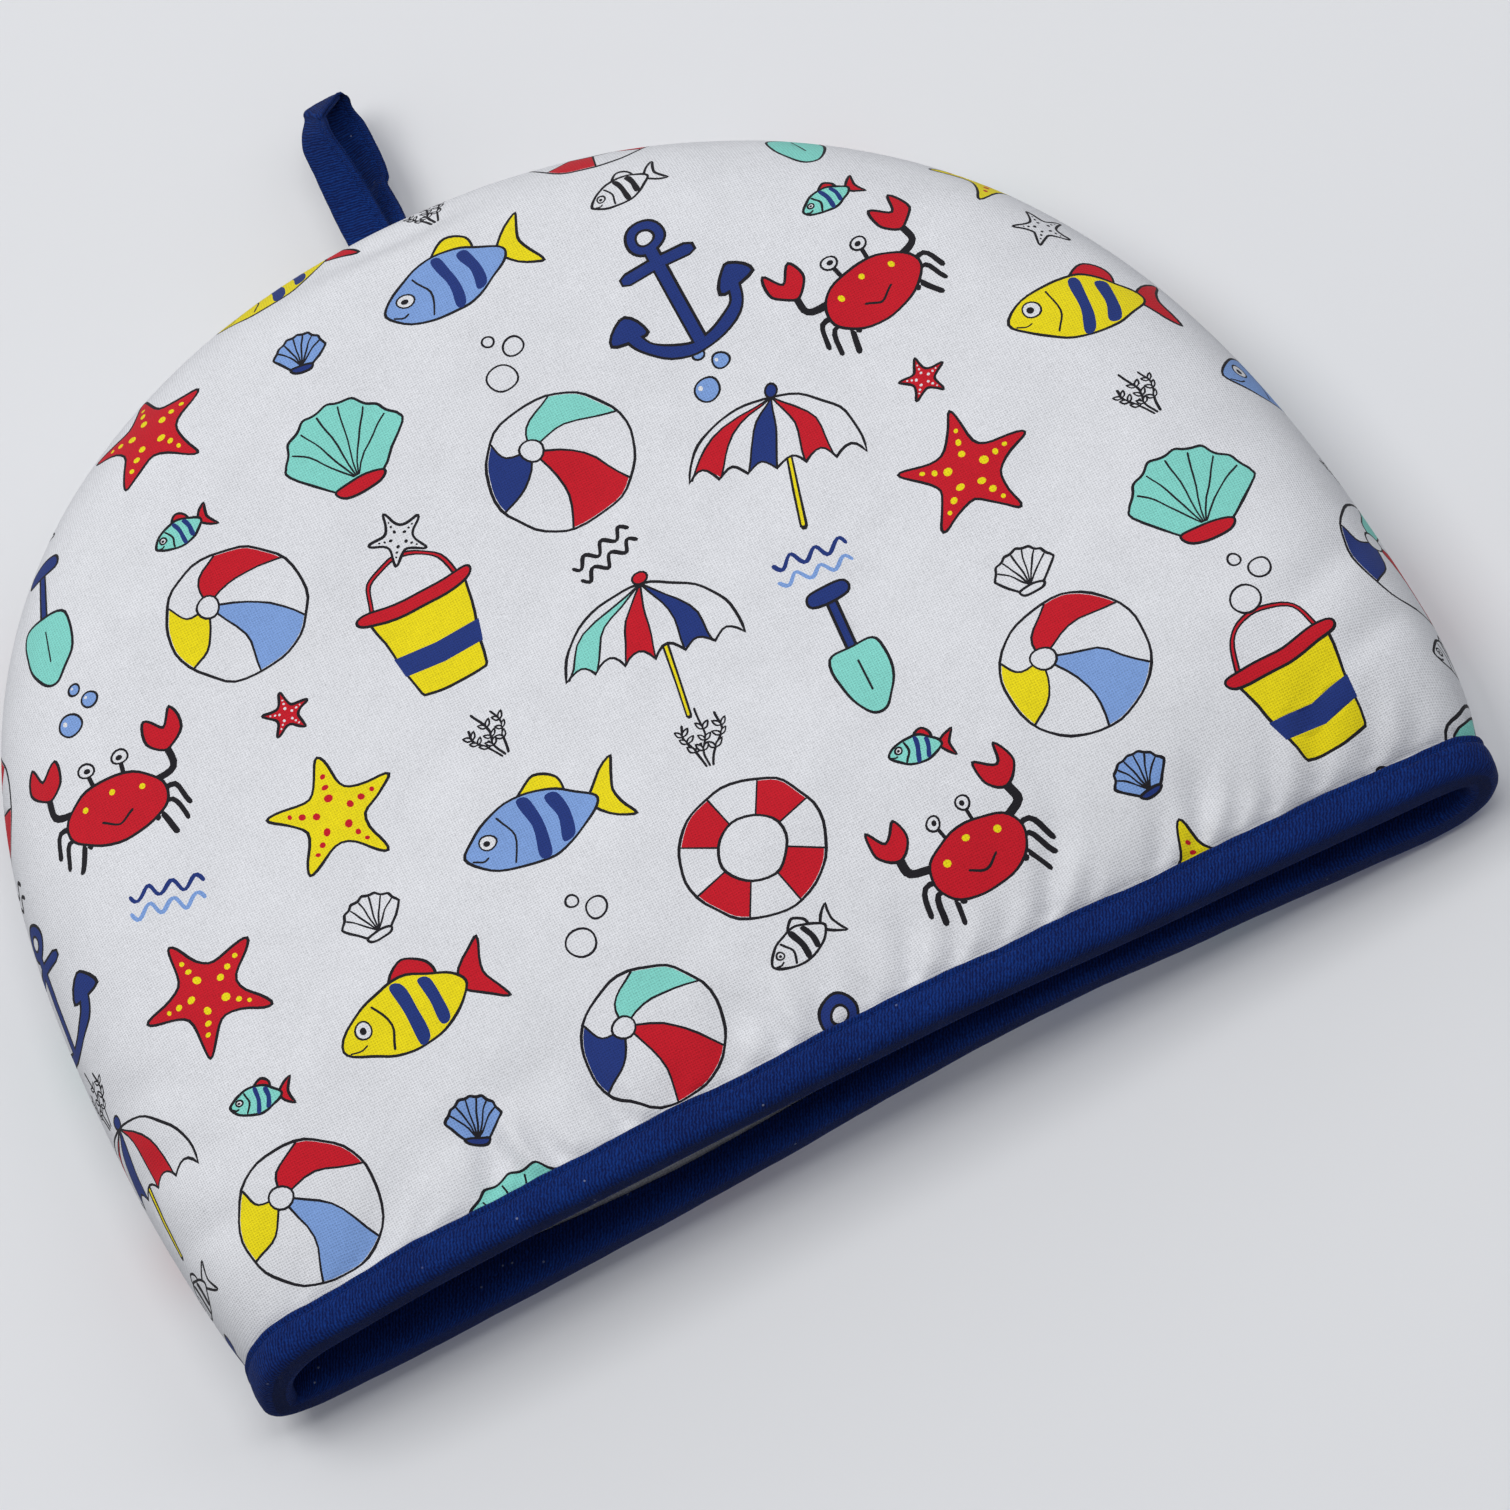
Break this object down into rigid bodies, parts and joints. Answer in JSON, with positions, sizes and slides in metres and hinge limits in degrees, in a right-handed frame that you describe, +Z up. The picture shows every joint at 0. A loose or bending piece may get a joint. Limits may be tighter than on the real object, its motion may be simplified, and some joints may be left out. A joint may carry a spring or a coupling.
{
  "type": "tea cosy",
  "caption": "Padded dome-shaped fabric cover that slips over a teapot, open along its bound hem, with a hanging loop at the top",
  "frame": {"origin": "centre of the part's bounding box on the plane of the hem's underside, where the cosy rests", "axes": "+X along the hem towards the end where the hem lies flattest, +Z up to the hanging loop, -Y out of the front panel"},
  "size_m": [0.3536, 0.0528, 0.3291],
  "materials": {
    "front_panel": "printed cotton, matte",
    "back_panel": "printed cotton, matte",
    "lining": "plain cotton, matte",
    "hem_binding": "ribbed cotton tape, matte",
    "hanging_loop": "folded cotton tape, matte"
  },
  "bodies": {
    "root": {"front_panel": "front_panel", "back_panel": "back_panel", "lining": "lining", "hem_binding": "hem_binding", "hanging_loop": "hanging_loop"}
  },
  "joints": []
}
